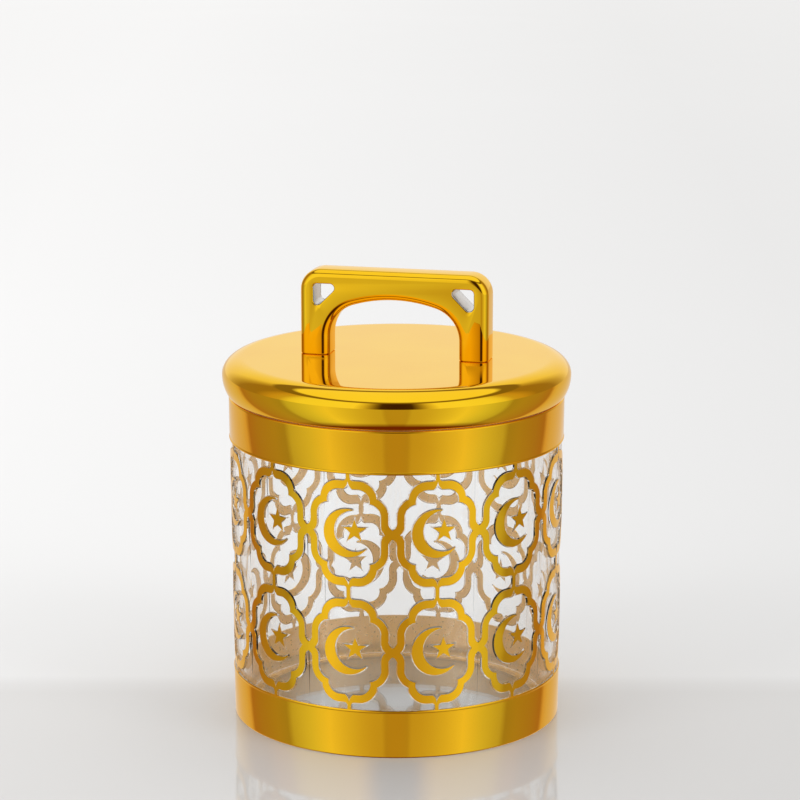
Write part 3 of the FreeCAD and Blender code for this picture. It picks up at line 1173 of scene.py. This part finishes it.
    def mixed(self, tree, factor, first, second):
        """Two shaders, mixed by a factor."""
        node = tree.nodes.new("ShaderNodeMixShader")
        for socket, value in zip(node.inputs, (factor, first, second)):
            tree.links.new(value, socket)
        return node.outputs[0]

    def set_world(self, context, finishes):
        """A pale surround, a plain level of light, and a room of soft boxes and dark gaps for gloss."""
        world = bpy.data.worlds.new("studio")
        context.scene.world = world
        world.use_nodes = True
        tree = world.node_tree
        nodes = tree.nodes
        place = nodes.new("ShaderNodeTexCoord").outputs["Generated"]
        plain = nodes["Background"]
        plain.inputs["Color"].default_value = self.plain_light
        shown = nodes.new("ShaderNodeBackground")
        shown.inputs["Color"].default_value = (*finishes.backdrop, 1)
        height = self.along(tree, place, (0, 0, 1))
        table = self.levels_round(tree, place, self.table_levels)
        walls = self.levels_round(tree, place, self.room_levels)
        ceiling = self.levels(tree, height, self.ceiling_levels)
        # Gloss looking steeply down sees the painted reflection of the jar's band and its shade
        below = self.joined(tree, spread(tree, height, *self.under_reflection_edge), self.under_reflection_colour, table)
        around = self.joined(tree, spread(tree, height, *self.table_edge), below, walls)
        gloss = self.joined(tree, spread(tree, height, *self.wall_edge), around, ceiling)
        room = nodes.new("ShaderNodeBackground")
        tree.links.new(gloss, room.inputs["Color"])
        seen = self.of_rays(tree, "MAXIMUM", "Camera", "Transmission")
        direct = self.mixed(tree, seen, plain.outputs[0], shown.outputs[0])
        # What is seen through the clear wall has both marks, and isn't gloss
        in_gloss = self.of_rays(tree, "SUBTRACT", "Glossy", "Transmission")
        light = self.mixed(tree, in_gloss, direct, room.outputs[0])
        tree.links.new(light, nodes["World Output"].inputs["Surface"])

    def set_floor(self, context):
        """A pale glossy table with painted light: it darkens towards the camera and to the right."""
        bm = bmesh.new()
        bmesh.ops.create_grid(bm, x_segments=1, y_segments=1, size=self.floor_size)
        bmesh.ops.translate(bm, vec=(0, 0, -self.floor_drop), verts=bm.verts)
        material, tree, shader, place = finish("table")
        near, far = self.painted_depth_levels[0][0], self.painted_depth_levels[-1][0]
        stops = [((depth - near) / (far - near), *rest) for depth, *rest in self.painted_depth_levels]
        depth = spread(tree, self.along(tree, place, self.towards(180, 1, 0)), near, far)
        shade = vector_node(tree, "SCALE", self.levels(tree, depth, stops))
        right = self.along(tree, place, self.towards(90, 1, 0))
        side = spread(tree, right, -self.side_reach, self.side_reach, *self.painted_side_shares)
        tree.links.new(side, shade.inputs["Scale"])
        tree.links.new(shade.outputs["Vector"], shader.inputs["Base Color"])
        vary_roughness(tree, shader, place, 6, 2, 0.05, 0.08)
        shader.inputs["IOR"].default_value = 1.6
        mesh = stored("floor", bm)
        mesh.materials.append(material)
        floor = bpy.data.objects.new("floor", mesh)
        context.scene.collection.objects.link(floor)
        floor.visible_glossy = False

    def set_lamps(self, context):
        """A soft box at each side of the camera, and one overhead."""
        aim = Vector((0, 0, self.aim_height))
        for name, azimuth, distance, height, width, depth, watts in self.soft_boxes:
            data = bpy.data.lights.new(name, "AREA")
            data.shape = "RECTANGLE"
            data.size = width
            data.size_y = depth
            data.energy = watts
            lamp = bpy.data.objects.new(name, data)
            lamp.location = self.towards(azimuth, distance, height)
            lamp.rotation_euler = (aim - lamp.location).to_track_quat("-Z", "Y").to_euler()
            lamp.visible_glossy = False
            context.scene.collection.objects.link(lamp)


class SidebarPanel(bpy.types.Panel):
    """Sizes, colours and building steps of the snack jar"""

    bl_idname = "VIEW3D_PT_snack_jar"
    bl_label = "Snack jar"
    bl_space_type = "VIEW_3D"
    bl_region_type = "UI"
    bl_category = "Snack jar"

    def draw(self, context):
        scene = context.scene
        for group in (scene.snack_jar_sizes, scene.snack_jar_lid, scene.snack_jar_finishes):
            box = self.layout.box()
            for name in group.__annotations__:
                box.prop(group, name)
        for operator in OPERATORS:
            self.layout.operator(operator.bl_idname)


OPERATORS = (ClearWall, Medallions, Bands, Cover, Handle, Fittings, Stage)
CLASSES = (JarSizes, LidSizes, Finishes, *OPERATORS, SidebarPanel)


def register():
    """Registers the classes and hangs the settings on the scene."""
    for each in CLASSES:
        bpy.utils.register_class(each)
    bpy.types.Scene.snack_jar_sizes = PointerProperty(type=JarSizes)
    bpy.types.Scene.snack_jar_lid = PointerProperty(type=LidSizes)
    bpy.types.Scene.snack_jar_finishes = PointerProperty(type=Finishes)


def unregister():
    """Takes the settings and the classes away again."""
    del bpy.types.Scene.snack_jar_finishes
    del bpy.types.Scene.snack_jar_lid
    del bpy.types.Scene.snack_jar_sizes
    for each in reversed(CLASSES):
        bpy.utils.unregister_class(each)


def main():
    """Builds every piece and sets the stage."""
    register()
    bpy.ops.snack_jar.clear_wall()
    bpy.ops.snack_jar.medallions()
    bpy.ops.snack_jar.bands()
    bpy.ops.snack_jar.cover()
    bpy.ops.snack_jar.handle()
    bpy.ops.snack_jar.fittings()
    bpy.ops.snack_jar.stage()


if __name__ == "__main__":
    main()
